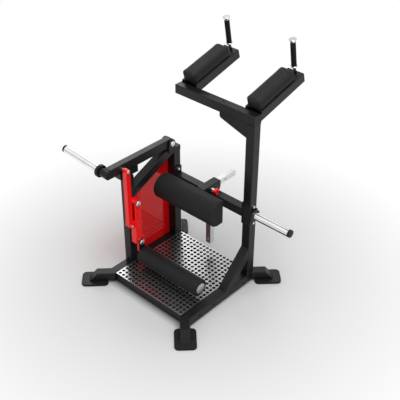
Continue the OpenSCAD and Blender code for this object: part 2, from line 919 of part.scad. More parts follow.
module forearm_pad(x) {
  color(vinyl_col) on_arm(x)
    translate([0, rest_pad_l / 2 - rest_pad_over, board_t + 0.01])
    ring_form([for (v = rest_levels)
      corner_ring(rest_pad_w - 2 * v[1] * rest_pad_t, rest_pad_l - 2 * v[2] * rest_pad_t,
        rest_corner_r, v[0] * rest_pad_t, 7)]);
}

module left_forearm_pad() {
  forearm_pad(left_rest_x);
}

module right_forearm_pad() {
  forearm_pad(right_rest_x);
}

// Handles
grip_s = rest_l - 11;
grip_rise = 44;
rod_socket = 8;

module bar_between(p, q, d) {
  v = q - p;
  translate(p) rotate([0, acos(v[2] / norm(v)), atan2(v[1], v[0])]) cylinder(d = d, h = norm(v));
}

module at_grip() {
  translate([0, grip_s, grip_rise]) rotate([grip_lean - rest_tilt, 0, 0]) children();
}

module handle_rod() {
  lean = rest_tilt - grip_lean;
  neck = grip_ring_l + 4;
  foot = [rod_side, rod_s, 0];
  knee = [rod_side, rod_s, rod_rise];
  bend = [0, grip_s - neck * sin(lean), grip_rise - neck * cos(lean)];
  bar_between(foot, knee, rod_d);
  translate(knee) sphere(d = rod_d + 1);
  bar_between(knee, bend, rod_d);
  translate(bend) sphere(d = rod_d + 1);
  at_grip() translate([0, 0, -neck]) cylinder(d = rod_d, h = neck + grip_l + rod_socket);
}

module handle_rods() {
  color(frame_col) for (x = rest_xs) on_arm(x) handle_rod();
}

module handle_grips() {
  color(rubber_col) for (x = rest_xs) on_arm(x) at_grip() difference() {
    rotate_extrude() polygon([
      [0, 0], [grip_d / 2 - 1.5, 0], [grip_d / 2, 1.5],
      [grip_d / 2, grip_l - 1.5], [grip_d / 2 - 1.5, grip_l], [0, grip_l]
    ]);
    translate([0, 0, -1]) cylinder(d = rod_d + 2 * fixed_gap, h = grip_l + 2);
  }
}

module grip_ends() {
  bore = rod_d / 2 + fixed_gap;
  ring = grip_d / 2 + 4;
  top = grip_cap_d / 2;
  color(chrome_col) for (x = rest_xs) on_arm(x) at_grip() {
    translate([0, 0, -grip_ring_l]) rotate_extrude() polygon([
      [bore, 0], [ring - 1.5, 0], [ring, 1.5], [ring, grip_ring_l - 1.5],
      [ring - 1.5, grip_ring_l], [bore, grip_ring_l]
    ]);
    translate([0, 0, grip_l]) rotate_extrude() polygon([
      [bore, 0], [grip_d / 2, 0], [grip_d / 2 + 1, 6], [top - 1, grip_cap_l - 8],
      [top, grip_cap_l - 6], [top, grip_cap_l - 2], [top - 2, grip_cap_l],
      [0, grip_cap_l], [0, rod_socket + fixed_gap], [bore, rod_socket + fixed_gap]
    ]);
  }
}

// Lever. The horn's own frame has +Z along the horn, away from the machine
module on_horn() {
  translate([-lever_side, boss_y, pivot_z]) rotate([0, horn_tilt - 90, 0]) children();
}

module lever_tube() {
  start = lever_front - boss_d / 4;
  run = pivot_y - start;
  w = lever_w;
  h = lever_h;
  color(frame_col) difference() {
    union() {
      along_y(-side_x, start, pivot_z) linear_extrude(run) rounded(w, h, tube_r);
      rod_x(h, -side_x - w / 2, -side_x + w / 2, pivot_y, pivot_z);
    }
    difference() {
      along_y(-side_x, start - 1, pivot_z) linear_extrude(run + 1)
        rounded(w - 2 * tube_wall, h - 2 * tube_wall, tube_r - tube_wall);
      rod_x(2 * hub_r, -side_x - w, -side_x + w, pivot_y, pivot_z);
    }
    rod_x(2 * bush_r, -side_x - w, -side_x + w, pivot_y, pivot_z);
    on_horn() translate([0, 0, -tube]) cylinder(d = boss_d, h = 3 * tube);
  }
}

module lever_block() {
  low = block_low;
  front = front_post_y - tube / 2 - block_lead;
  color(frame_col) difference() {
    block([-side_x - lever_w / 2, -side_x + lever_w / 2], [front, front + block_l],
      [low, lever_low]);
    block([-side_x - lever_w / 2 + tube_wall, -side_x + lever_w / 2 - tube_wall],
      [front + tube_wall, front + block_l - tube_wall],
      [low + tube_wall, lever_low + 1]);
  }
}

module horn_boss() {
  color(frame_col) difference() {
    on_horn() union() {
      translate([0, 0, -tube_wall]) cylinder(d = boss_d, h = collar_start + tube_wall);
      translate([0, 0, collar_start]) cylinder(d = collar_d, h = collar_l);
      translate([0, 0, collar_end - 1]) cylinder(d = spigot_d, h = spigot_l + 1);
    }
    on_horn() translate([0, 0, 2 * tube_wall])
      cylinder(d = spigot_d - 2 * sleeve_wall, h = collar_end + spigot_l);
    block([-lever_side, 0], [boss_y - tube, boss_y + tube], [pivot_z - tube, pivot_z + tube]);
  }
}

module horn_sleeve() {
  color(chrome_col) on_horn() translate([0, 0, collar_end]) difference() {
    cylinder(d = sleeve_d, h = lever_sleeve_l);
    translate([0, 0, -1]) cylinder(d = sleeve_d - 2 * sleeve_wall, h = lever_sleeve_l + 2);
  }
}

module horn_cap() {
  color(rubber_col) on_horn() translate([0, 0, lever_horn_end]) sleeve_plug();
}

// A flanged half bush in a side wall, its flange outside the face at x
module half_bush(x, side, depth, flange, y, z) {
  translate([x, y, z]) rotate([0, side * 90, 0]) rotate_extrude() polygon([
    [shaft_bore, -depth],
    [bush_r, -depth],
    [bush_r, 0],
    [flange_r, 0],
    [flange_r, flange],
    [shaft_bore, flange]
  ]);
}

module lever_bushes() {
  flange = (tube - lever_w) / 2 - face_gap;
  color(rubber_col) {
    half_bush(-lever_side, 1, lever_w / 2, flange, pivot_y, pivot_z);
    half_bush(-side_x - lever_w / 2, -1, lever_w / 2, flange, pivot_y, pivot_z);
  }
}

// Link
module link_bar() {
  bore = pin_d + 2 * run_gap;
  color(red_col) yz_plate(-arm_x - link_w / 2, link_w) difference() {
    union() {
      for (z = [lug_z, pivot_z]) translate([lug_y, z]) circle(d = link_w);
      translate([lug_y - link_w / 2, lug_z]) square([link_w, pivot_z - lug_z]);
    }
    for (z = [lug_z, pivot_z]) translate([lug_y, z]) circle(d = bore);
  }
}

link_ring_d = 26;

module link_pin() {
  link_left = -arm_x - link_w / 2;
  link_right = -arm_x + link_w / 2;
  color(chrome_col) {
    ring_x(link_ring_d, pin_d, -lever_side + face_gap, link_left, lug_y, pivot_z);
    rod_x(pin_d, -lever_side + face_gap, link_right + 1, lug_y, pivot_z);
    rod_x(2 * pin_d, link_right, link_right + head_t, lug_y, pivot_z);
  }
}

// Curl arm
module arm_hub(r, x0, x1) {
  rod_x(2 * r, x0, x1, knee_y, knee_z);
}

tongue_w = 16;
tongue_drop = 65;
tongue_ahead = 10;
tongue_back = 36;

module lug_plate(x) {
  tip = [lug_y, lug_z];
  reach = lug_z - knee_z;
  up = [arm_front + 2, lug_z + 2.7 * lug_r];
  down = [arm_front + 2, lug_z - 2 * lug_r];
  a = tangent(up - tip, lug_r, 1);
  b = tangent(down - tip, lug_r, -1);
  yz_plate(x, lug_t) union() {
    polygon([up, tip + on_circle(lug_r, a), tip + on_circle(lug_r, b), down]);
    translate(tip) circle(r = lug_r);
  }
}

module curl_arm() {
  w = arm_w;
  run = knee_z - arm_low;
  left = -arm_x - w / 2;
  right = -arm_x + w / 2;
  color(red_col) difference() {
    union() {
      difference() {
        union() {
          translate([-arm_x, knee_y, arm_low]) linear_extrude(run) rounded(w, w, tube_r);
          rod_x(w, left, right, knee_y, knee_z);
        }
        difference() {
          translate([-arm_x, knee_y, arm_low - 1]) linear_extrude(run + 1)
            rounded(w - 2 * arm_wall, w - 2 * arm_wall, tube_r - arm_wall);
          arm_hub(hub_r, left, right);
        }
        block([-arm_x - slot_w / 2, -arm_x + slot_w / 2], [arm_front - 1, knee_y - hub_r],
          [knee_z - slot_drop, knee_z + 14]);
      }
      lug_plate(-arm_x + slot_w / 2);
      lug_plate(-arm_x - slot_w / 2 - lug_t);
      difference() {
        block([right - tongue_w, right], [knee_y - tongue_ahead, knee_y + tongue_back],
          [arm_low - tongue_drop, arm_low + w]);
        rod_x(bracket_bolt_d + 2 * fixed_gap, right - tongue_w - 1, right + 1,
          bracket_bolt_y, bracket_bolt_z);
      }
    }
    arm_hub(bush_r, left - 1, right + 1);
    rod_x(pin_d + 2 * fixed_gap, left - lug_t - 1, right + lug_t, lug_y, lug_z);
    rod_x(bracket_bolt_d + 2 * fixed_gap, right - tongue_w - 1, right + 1,
      bracket_bolt_y, bracket_bolt_z);
  }
}

module knee_bushes() {
  color(rubber_col) {
    half_bush(-arm_x - arm_w / 2, -1, arm_w / 2, side_gap - face_gap, knee_y, knee_z);
    half_bush(-arm_x + arm_w / 2, 1, arm_w / 2, knee_flange, knee_y, knee_z);
  }
}

module arm_bolts() {
  left = -arm_x - slot_w / 2 - lug_t;
  right = -arm_x + slot_w / 2 + lug_t;
  color(chrome_col) {
    rod_x(pin_d, left - 1, right + 1, lug_y, lug_z);
    rod_x(pin_d + 4, right, right + 6, lug_y, lug_z);
    rod_x(pin_d + 4, left - 3, left, lug_y, lug_z);
    rod_x(bracket_bolt_d, -bracket_x - bracket_t - tongue_w, -bracket_x + 1,
      bracket_bolt_y, bracket_bolt_z);
    pivot_head(-bracket_x, 1, bracket_bolt_y, bracket_bolt_z);
  }
}

module roller_bracket() {
  v = [bracket_bolt_y - roller_y, bracket_bolt_z - roller_z];
  reach = norm(v);
  color(frame_col) translate([-bracket_x - bracket_t, roller_y, roller_z])
    rotate([atan2(v[1], v[0]) - 90, 0, 0]) yz_plate(0, bracket_t) difference() {
      union() {
        for (z = [0, reach]) translate([0, z]) circle(r = bracket_r);
        translate([-bracket_r, 0]) square([2 * bracket_r, reach]);
      }
      circle(d = roller_axle_d + 2 * fixed_gap);
      translate([0, reach]) circle(d = bracket_bolt_d + 2 * fixed_gap);
    }
}

// Ankle roller
axle_end = roller_end - 6;

module roller_axle() {
  color(chrome_col) rod_x(roller_axle_d, -bracket_x - bracket_t, axle_end, roller_y, roller_z);
}

module roller_foam() {
  r = roller_d / 2;
  hole = roller_tube_d / 2 + fixed_gap;
  color(rubber_col) translate([roller_start, roller_y, roller_z]) rotate([0, 90, 0])
    rotate_extrude() union() {
      translate([hole, 0]) square([r - 8 - hole, roller_l]);
      translate([hole, 8]) square([r - hole, roller_l - 16]);
      for (s = [8, roller_l - 8]) translate([r - 8, s]) circle(r = 8);
    }
}

module roller_tube() {
  color(chrome_col) ring_x(roller_tube_d, roller_axle_d + 2 * run_gap, roller_start,
    roller_end, roller_y, roller_z);
}

module roller_end_caps() {
  color(chrome_col) {
    ring_x(roller_cap_d, roller_axle_d + 2 * run_gap, roller_start - roller_cap_t,
      roller_start, roller_y, roller_z);
    rod_x(roller_cap_d, roller_end, roller_end + roller_cap_t, roller_y, roller_z);
  }
}

// Thigh pad carriage
mast_hole_gap = 0.1;

module mast_bushing() {
  outer = mast_w + 2 * mast_bush;
  inner = mast_w + 2 * mast_hole_gap;
  low = crossbar_z - tube / 2;
  color(rubber_col) difference() {
    union() {
      translate([0, post_y, low - 3]) linear_extrude(tube + 3) square(outer, center = true);
      translate([0, post_y, low - 3]) linear_extrude(3) rounded(outer + 8, outer + 8, tube_r);
    }
    translate([0, post_y, low - 4]) linear_extrude(tube + 5) rounded(inner, inner, 3 + 0.1);
    rod_y(pin_core_d + 2 * fixed_gap, post_face - 1, post_y, 0, height_pin_z);
  }
}

module mast_tube() {
  color(chrome_col) difference() {
    translate([0, post_y, mast_low]) linear_extrude(slide_low - mast_low) difference() {
      rounded(mast_w, mast_w, 3);
      rounded(mast_w - 2 * tube_wall, mast_w - 2 * tube_wall, 1);
    }
    for (k = set_steps) {
      rod_y(set_hole_d, post_y - mast_w, post_y + mast_w, 0, height_pin_z - k * set_pitch);
    }
  }
}

slide_bush_wall = (slide_h - depth_tube_w) / 2 - tube_wall - mast_hole_gap;

module slide_sleeve() {
  shoe_z = slide_low - 13.3;
  color(frame_col) union() {
    difference() {
      along_y(0, slide_front, slide_z) linear_extrude(slide_l) difference() {
        rounded(slide_w, slide_h, tube_r);
        square([slide_w - 2 * tube_wall, slide_h - 2 * tube_wall], center = true);
      }
      rod_x(pin_core_d + 2 * fixed_gap, 0, slide_w, depth_pin_y, slide_z);
    }
    difference() {
      block([-slide_w / 2, slide_w / 2], [slide_back - 26, slide_back], [shoe_z, slide_low]);
      translate([0, slide_back, shoe_z]) rotate([45, 0, 0])
        cube([slide_w + 2, 12, 12], center = true);
    }
  }
}

module slide_bushings() {
  outer_w = slide_w - 2 * tube_wall;
  outer_h = slide_h - 2 * tube_wall;
  bore = depth_tube_w + 2 * mast_hole_gap;
  color(rubber_col) for (s = [0, 1]) {
    y = s == 0 ? slide_front : slide_back - slide_bush_l;
    lip_y = s == 0 ? slide_front - slide_lip : slide_back;
    difference() {
      union() {
        along_y(0, y, slide_z) linear_extrude(slide_bush_l)
          square([outer_w, outer_h], center = true);
        along_y(0, lip_y, slide_z) linear_extrude(slide_lip) rounded(slide_w, slide_h, tube_r);
      }
      along_y(0, slide_front - slide_l, slide_z) linear_extrude(3 * slide_l)
        rounded(bore, bore, 3 + mast_hole_gap);
    }
  }
}

module depth_tube() {
  color(chrome_col) difference() {
    along_y(0, pad_back + mount_t, slide_z) linear_extrude(depth_tube_l) difference() {
      rounded(depth_tube_w, depth_tube_w, 3);
      rounded(depth_tube_w - 2 * tube_wall, depth_tube_w - 2 * tube_wall, 1);
    }
    for (k = [0, 1, 3, 5]) {
      rod_x(set_hole_d, -depth_tube_w, depth_tube_w, depth_pin_y + k * set_pitch, slide_z);
    }
  }
}

mount_h = 0.53 * thigh_h;

module pad_mount() {
  color(frame_col) difference() {
    along_y(0, pad_back, pad_z) linear_extrude(mount_t) rounded(0.6 * thigh_l, mount_h, tube_r);
    for (x = [-1, 1], z = [-1, 1]) {
      rod_y(8, pad_back - 1, pad_back + mount_t + 1, x * 0.25 * thigh_l, pad_z + z * 0.36 * mount_h);
    }
  }
}

// Side view of the thigh pad: a flat back and a round front, from the upper back corner on
pad_r = thigh_h / 2;
pad_flat = thigh_depth - pad_r;

function pad_ring(x, inset) = concat(
  [[x, -inset, pad_r - 1.5 * inset]],
  [for (i = [0 : 24]) let (a = 90 + i * 7.5)
    [x, -pad_flat + (pad_r - inset) * cos(a), (pad_r - inset) * sin(a)]],
  [[x, -inset, 1.5 * inset - pad_r]],
  [[x, -0.3 * inset, (1.5 * inset - pad_r) / 2], [x, -0.3 * inset, (pad_r - 1.5 * inset) / 2]]
);

// Distance from the middle as a share of half the length, and inset, of each section
pad_stations = [[-1, 0.047], [-0.993, 0.02], [-0.98, 0.006], [-0.95, 0], [-0.4, 0],
  [0.4, 0], [0.95, 0], [0.98, 0.006], [0.993, 0.02], [1, 0.047]];

module thigh_pad() {
  color(vinyl_col) translate([0, pad_back - 0.01, pad_z])
    ring_form([for (v = pad_stations) pad_ring(v[0] * thigh_l / 2, v[1] * thigh_h)]);
}

// Pop pins. Each is drawn along +Z from the outer face of the sleeve it locks
module pin_housing(len) {
  core = pin_core_d + 2 * fixed_gap;
  difference() {
    cylinder(d = housing_d, h = len);
    translate([0, 0, -1]) cylinder(d = core, h = len + 2);
    translate([0, 0, -1]) cylinder(d = housing_d - 2 * housing_wall, h = len - housing_wall + 1);
  }
}

module pop_pin(len, tip) {
  translate([0, 0, -tip]) cylinder(d = pin_core_d, h = tip + len + 1);
  difference() {
    union() {
      translate([0, 0, len + face_gap]) cylinder(d = 0.6 * knob_d, h = knob_l);
      for (k = [0 : 2]) {
        rotate([0, 0, 120 * k]) translate([0.27 * knob_d, 0, len + face_gap + 4])
          cylinder(d = 0.46 * knob_d, h = knob_l - 4);
      }
    }
    translate([0, 0, len + face_gap + knob_l - 3]) cylinder(d = 0.34 * knob_d, h = 4);
  }
  translate([0, 0, 0.05]) cylinder(d = spring_d + 2, h = 2);
}

module pin_spring(len) {
  low = 2.3 + pin_travel + spring_wire / 2;
  high = len - housing_wall - spring_wire / 2;
  turns = max(1, floor((high - low) / (1.7 * spring_wire)));
  for (k = [0 : turns]) {
    translate([0, 0, low + k * (high - low) / turns]) rotate_extrude()
      translate([spring_d / 2 - spring_wire / 2, 0]) circle(d = spring_wire, $fn = 16);
  }
  for (a = [0, 180]) rotate([0, 0, a]) translate([spring_d / 2 - spring_wire / 2, 0, low])
    cylinder(d = spring_wire, h = high - low, $fn = 16);
}

module at_depth_pin() {
  translate([slide_w / 2, depth_pin_y, slide_z]) rotate([0, 90, 0]) children();
}

module at_height_pin() {
  translate([0, post_face, height_pin_z]) rotate([90, 0, 0]) children();
}

module depth_pin_housing() {
  color(chrome_col) at_depth_pin() pin_housing(depth_housing_l);
}

module depth_spring() {
  color(chrome_col) at_depth_pin() pin_spring(depth_housing_l);
}

module depth_pin() {
  color(red_col) at_depth_pin() pop_pin(depth_housing_l, (slide_w - depth_tube_w) / 2 - pin_clear);
}

module height_pin_housing() {
  color(chrome_col) at_height_pin() pin_housing(height_housing_l);
}

module height_spring() {
  color(chrome_col) at_height_pin() pin_spring(height_housing_l);
}

module height_pin() {
  color(red_col) at_height_pin() pop_pin(height_housing_l, (tube - mast_w) / 2 - pin_clear);
}

placed() side_tubes();
placed() cross_tubes();
placed() leg_tubes();
placed() foot_plates();
placed() foot_pads();
placed() tread_plate();
placed() front_left_post();
placed() post_bumper();
placed() rear_left_post();
placed() diagonal_brace();
placed() side_panel();
placed() lever_bracket();
placed() pivot_shafts();
placed() mid_crossbar();
placed() crossbar_flanges();
placed() frame_bolts();
placed() right_upright();
placed() lower_brace();
placed() top_crossbar();
placed() gusset_plate();
placed() forearm_arms();
placed() pad_boards();
placed() left_forearm_pad();
placed() right_forearm_pad();
placed() handle_rods();
placed() handle_grips();
placed() grip_ends();
placed() tube_end_caps();
placed() storage_hub();
placed() storage_sleeve();
placed() storage_cap();
placed() mast_bushing();
placed() height_pin_housing();
placed() height_spring();
placed() height_pin();
placed() lever_tube();
placed() lever_block();
placed() horn_boss();
placed() horn_sleeve();
placed() horn_cap();
placed() lever_bushes();
placed() link_bar();
placed() link_pin();
placed() curl_arm();
placed() knee_bushes();
placed() arm_bolts();
placed() roller_bracket();
placed() roller_axle();
placed() roller_foam();
placed() roller_tube();
placed() roller_end_caps();
placed() mast_tube();
placed() slide_sleeve();
placed() slide_bushings();
placed() depth_pin_housing();
placed() depth_spring();
placed() depth_pin();
placed() depth_tube();
placed() pad_mount();
placed() thigh_pad();
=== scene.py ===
# %% [markdown]
# The standing hamstring machine comes from the CAD as a fixed frame: every
# solid is already in place, in metres, and tied to the body it moves with.
# Each Blender piece added below stands in the same space, so nothing has to
# be fitted. The first cell loads the frame and notes its size. The base's two
# side tubes lie evenly about the middle of the base, so their box gives the
# point from which this script measures what no node's box gives.

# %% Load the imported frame
import math

import bpy
import numpy as np
from mathutils import Matrix, Vector


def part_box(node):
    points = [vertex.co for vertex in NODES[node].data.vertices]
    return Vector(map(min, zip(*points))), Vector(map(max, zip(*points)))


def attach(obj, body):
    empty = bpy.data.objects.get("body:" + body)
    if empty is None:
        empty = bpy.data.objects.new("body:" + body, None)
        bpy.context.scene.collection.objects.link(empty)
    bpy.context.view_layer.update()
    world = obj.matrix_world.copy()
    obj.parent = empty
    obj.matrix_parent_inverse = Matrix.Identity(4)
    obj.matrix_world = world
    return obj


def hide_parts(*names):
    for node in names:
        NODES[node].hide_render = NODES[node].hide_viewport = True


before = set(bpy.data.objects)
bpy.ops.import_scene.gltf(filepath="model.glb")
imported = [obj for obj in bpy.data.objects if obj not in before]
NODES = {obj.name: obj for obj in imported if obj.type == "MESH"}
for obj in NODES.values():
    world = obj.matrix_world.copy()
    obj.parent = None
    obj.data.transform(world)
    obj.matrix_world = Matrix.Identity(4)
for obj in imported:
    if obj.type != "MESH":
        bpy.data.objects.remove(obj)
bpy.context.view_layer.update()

MM = 0.001
base_low, base_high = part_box("side_tubes")
BASE_MIDDLE = Vector(((base_low.x + base_high.x) / 2, (base_low.y + base_high.y) / 2, 0))


def from_base(x, y, z):
    """A point given in millimetres from the floor under the base's middle."""
    return BASE_MIDDLE + Vector((x, y, z)) * MM


print("base middle:", [round(v, 4) for v in BASE_MIDDLE])

# %% [markdown]
# The camera stands where the photographer's did: in front and to the right of
# the machine, about 35 degrees above the horizon, with a long lens. Its place
# was worked out from the square pattern of holes in the tread plate, whose
# lines run together in the picture by a known amount.

# %% The camera
CAMERA_PLACE = from_base(2650.9, -2714.5, 3254.1)
CAMERA_AZIMUTH = 42.52
CAMERA_ELEVATION = 34.74
CAMERA_ROLL = 0.16
LENS_MM = 68.48

camera_data = bpy.data.cameras.new("camera")
camera_data.lens = LENS_MM
camera_data.sensor_width = 36
camera_data.clip_end = 60
camera = bpy.data.objects.new("camera", camera_data)
bpy.context.scene.collection.objects.link(camera)
turn = (
    Matrix.Rotation(math.radians(CAMERA_AZIMUTH), 4, "Z")
    @ Matrix.Rotation(math.radians(90 - CAMERA_ELEVATION), 4, "X")
    @ Matrix.Rotation(math.radians(CAMERA_ROLL), 4, "Z")
)
camera.matrix_world = Matrix.Translation(CAMERA_PLACE) @ turn
bpy.context.scene.camera = camera
print("camera at", [round(v, 3) for v in CAMERA_PLACE])

# %% [markdown]
# Surface finishes are made from shader nodes. Wiring them by hand takes many
# lines, so two small classes do it. A Wire wraps one socket, and arithmetic
# on it adds Math nodes. A Finish holds one material and adds any other node.

# %% Shader helpers
class Wire:
    """One socket of a node, usable in Python arithmetic."""

    def __init__(self, finish, socket):
        self.finish = finish
        self.socket = socket

    def maths(self, operation, first, second):
        settings = {"operation": operation}
        return self.finish.node("ShaderNodeMath", settings, {0: first, 1: second})[0]

    def __add__(self, other):
        return self.maths("ADD", self, other)

    def __radd__(self, other):
        return self.maths("ADD", other, self)

    def __sub__(self, other):
        return self.maths("SUBTRACT", self, other)

    def __rsub__(self, other):
        return self.maths("SUBTRACT", other, self)

    def __mul__(self, other):
        return self.maths("MULTIPLY", self, other)

    def __rmul__(self, other):
        return self.maths("MULTIPLY", other, self)

    def clamp(self, low, high):
        return self.maths("MINIMUM", self.maths("MAXIMUM", self, low), high)


class Outputs:
    """The outputs of a node, by number or by name."""

    def __init__(self, finish, node):
        self.finish = finish
        self.made = node

    def __getitem__(self, key):
        return Wire(self.finish, self.made.outputs[key])


class Finish:
    """A material and the one way in which nodes are added to it."""

    def __init__(self, name, colour, roughness, metallic=0.0, **fixed):
        self.material = bpy.data.materials.new(name)
        self.material.use_nodes = True
        self.tree = self.material.node_tree
        self.tree.nodes.clear()
        sockets = {"Base Color": (*colour, 1), "Roughness": roughness, "Metallic": metallic}
        sockets.update({key.replace("_", " "): value for key, value in fixed.items()})
        self.shader = self.node("ShaderNodeBsdfPrincipled", {}, sockets)
        self.node("ShaderNodeOutputMaterial", {}, {"Surface": self.shader[0]})
        self.place = self.node("ShaderNodeTexCoord", {}, {})["Object"]

    def node(self, kind, settings, sockets):
        made = self.tree.nodes.new(kind)
        for key, value in settings.items():
            if key == "stops":
                ramp = made.color_ramp
                while len(ramp.elements) < len(value):
                    ramp.elements.new(0.5)
                for element, (spot, shade) in zip(ramp.elements, value):
                    element.position = spot
                    element.color = (*shade, 1)
            else:
                setattr(made, key, value)
        for key, value in sockets.items():
            if isinstance(value, Wire):
                self.tree.links.new(value.socket, made.inputs[key])
            else:
                made.inputs[key].default_value = value
        return Outputs(self, made)

    def feed(self, socket, wire):
        self.tree.links.new(wire.socket, self.shader.made.inputs[socket])

    def scaled(self, factors):
        return self.node("ShaderNodeMapping", {}, {"Vector": self.place, "Scale": factors})[0]

    def noise(self, scale, detail=2.0, place=None):
        sockets = {"Vector": place or self.place, "Scale": scale, "Detail": detail}
        return self.node("ShaderNodeTexNoise", {}, sockets)["Fac"]

    def cells(self, scale):
        sockets = {"Vector": self.place, "Scale": scale}
        return self.node("ShaderNodeTexVoronoi", {}, sockets)["Distance"]

    def shades(self, factor, stops):
        return self.node("ShaderNodeValToRGB", {"stops": stops}, {"Fac": factor})["Color"]

    def bump(self, height, depth, strength):
        sockets = {"Height": height, "Distance": depth, "Strength": strength}
        self.feed("Normal", self.node("ShaderNodeBump", {}, sockets)["Normal"])


def tint(colour, factor):
    return tuple(min(1.0, channel * factor) for channel in colour)


print("shader helpers ready")

# %% [markdown]
# The frame is powder coated: a baked plastic skin, nearly black, with a soft
# gloss and a faint orange-peel texture. Two noises do it. A fine one lifts
# the surface by hundredths of a millimetre, and a slow one varies the gloss
# so that long tubes don't look like plain plastic.

# %% Powder coat and painted steel
COAT_GLOSS = 0.26
PEEL_DEPTH = 0.08 * MM
PAINT_WAVES = 0.004 * MM


def powder_coat(name, colour, roughness):
    finish = Finish(name, colour, roughness, Specular_IOR_Level=COAT_GLOSS)
    slow = finish.noise(7.0, 3.0)
    fine = finish.noise(1400.0, 2.0)
    stops = [(0.3, tint(colour, 0.85)), (0.7, tint(colour, 1.18))]
    finish.feed("Base Color", finish.shades(slow * 0.7 + fine * 0.3, stops))
    finish.feed("Roughness", slow * 0.1 + fine * 0.06 + (roughness - 0.08))
    finish.bump(fine, PEEL_DEPTH, 0.6)
    return finish.material


def gloss_paint(name, colour, roughness, gloss):
    finish = Finish(name, colour, roughness, Specular_IOR_Level=gloss)
    slow = finish.noise(9.0, 3.0)
    waves = finish.noise(40.0, 1.0)
    stops = [(0.3, tint(colour, 0.93)), (0.7, tint(colour, 1.07))]
    finish.feed("Base Color", finish.shades(slow, stops))
    finish.feed("Roughness", slow * 0.03 + (roughness - 0.015))
    finish.bump(waves, PAINT_WAVES, 0.25)
    return finish.material


FRAME_BLACK = powder_coat("frame_powder_coat", (0.0075, 0.0075, 0.0078), 0.38)
FOOT_GREY = powder_coat("foot_plate_coat", (0.011, 0.011, 0.0115), 0.42)
PANEL_RED = gloss_paint("panel_gloss_red", (0.80, 0.005, 0.006), 0.03, 0.42)
ARM_RED = gloss_paint("arm_gloss_red", (0.95, 0.006, 0.007), 0.04, 0.42)
KNOB_RED = gloss_paint("knob_moulded_red", (0.95, 0.012, 0.014), 0.2, 0.5)
print("paints ready")

# %% [markdown]
# Bare metal has no colour of its own: it shows what stands around it. Chrome
# is almost a mirror, so it needs only a little uneven gloss. The grips' end
# pieces have a greyer plating, which keeps them apart from a white backdrop.
# The tread plate is polished sheet with a faint rolling grain, drawn by a
# noise that is stretched along the sheet.

# %% Metals
METAL_GRAIN = 0.01 * MM
SHEET_METALLIC = 0.93


def bright_metal(name, colour, roughness, grain_scale=400.0):
    finish = Finish(name, colour, roughness, metallic=1.0)
    slow = finish.noise(14.0, 3.0)
    fine = finish.noise(grain_scale, 2.0)
    stops = [(0.35, tint(colour, 0.94)), (0.65, tint(colour, 1.04))]
    finish.feed("Base Color", finish.shades(slow, stops))
    finish.feed("Roughness", slow * 0.08 + fine * 0.04 + (roughness - 0.06))
    finish.bump(fine, METAL_GRAIN, 0.3)
    return finish.material


def rolled_sheet(name, colour, roughness):
    finish = Finish(name, colour, roughness, metallic=SHEET_METALLIC)
    streaks = finish.noise(3.0, 4.0, finish.scaled((160.0, 4.0, 160.0)))
    scuffs = finish.noise(22.0, 5.0)
    stops = [(0.3, tint(colour, 0.93)), (0.7, tint(colour, 1.04))]
    finish.feed("Base Color", finish.shades(streaks * 0.5 + scuffs * 0.5, stops))
    finish.feed("Roughness", streaks * 0.06 + scuffs * 0.08 + (roughness - 0.07))
    finish.bump(streaks, METAL_GRAIN, 0.25)
    return finish.material


CHROME = bright_metal("bright_chrome", (0.86, 0.87, 0.88), 0.09)
SATIN_CHROME = bright_metal("satin_chrome", (0.72, 0.725, 0.74), 0.32)
ZINC = bright_metal("bright_zinc", (0.72, 0.73, 0.74), 0.24)
ALLOY = bright_metal("satin_alloy", (0.74, 0.75, 0.76), 0.3, 900.0)
END_CHROME = bright_metal("grip_end_chrome", (0.66, 0.67, 0.68), 0.1)
TREAD_STEEL = rolled_sheet("tread_sheet", (0.43, 0.433, 0.437), 0.27)
print("metals ready")

# %% [markdown]
# The pads are covered in black vinyl, a plastic leather with a fine pebbled
# grain. Cells of two sizes give the pebbles and the creases between them.
# The roller's cover is smoother. Rubber and nylon are matt, with a dusty
# variation in their gloss.

# %% Vinyl, rubber and nylon
VINYL_GLOSS = 0.22
PLASTIC_GLOSS = 0.25
CREASE_SCALE = 2.3
MOULD_GRAIN = 700.0
MOULD_DEPTH = 0.05 * MM


def grained_vinyl(name, colour, roughness, grain, depth):
    finish = Finish(name, colour, roughness, Specular_IOR_Level=VINYL_GLOSS)
    pebbles = finish.cells(grain)
    creases = finish.cells(grain * CREASE_SCALE)
    slow = finish.noise(5.0, 3.0)
    stops = [(0.25, tint(colour, 0.85)), (0.75, tint(colour, 1.2))]
    finish.feed("Base Color", finish.shades(slow * 0.6 + pebbles * 0.4, stops))
    finish.feed("Roughness", slow * 0.12 + pebbles * 0.1 + (roughness - 0.1))
    finish.bump(1 - (pebbles * 0.7 + creases * 0.3), depth, 0.7)
    return finish.material


def matt_plastic(name, colour, roughness):
    finish = Finish(name, colour, roughness, Specular_IOR_Level=PLASTIC_GLOSS)
    dust = finish.noise(30.0, 4.0)
    fine = finish.noise(MOULD_GRAIN, 2.0)
    stops = [(0.3, tint(colour, 0.85)), (0.75, tint(colour, 1.3))]
    finish.feed("Base Color", finish.shades(dust, stops))
    finish.feed("Roughness", dust * 0.15 + (roughness - 0.08))
    finish.bump(fine, MOULD_DEPTH, 0.5)
    return finish.material


PAD_BLACK = (0.0105, 0.0105, 0.0108)
VINYL = grained_vinyl("pad_vinyl", PAD_BLACK, 0.6, 900.0, 0.1 * MM)
ROLLER_COVER = grained_vinyl("roller_cover", PAD_BLACK, 0.55, 1500.0, 0.05 * MM)
RUBBER = matt_plastic("black_rubber", (0.006, 0.006, 0.006), 0.7)
NYLON = matt_plastic("black_nylon", (0.007, 0.007, 0.0073), 0.5)
print("vinyl, rubber and nylon ready")

# %% [markdown]
# Each CAD node now gets its finish. A node keeps its mesh, and only what
# fills its material slots changes. The list is by finish, because many nodes
# share one.

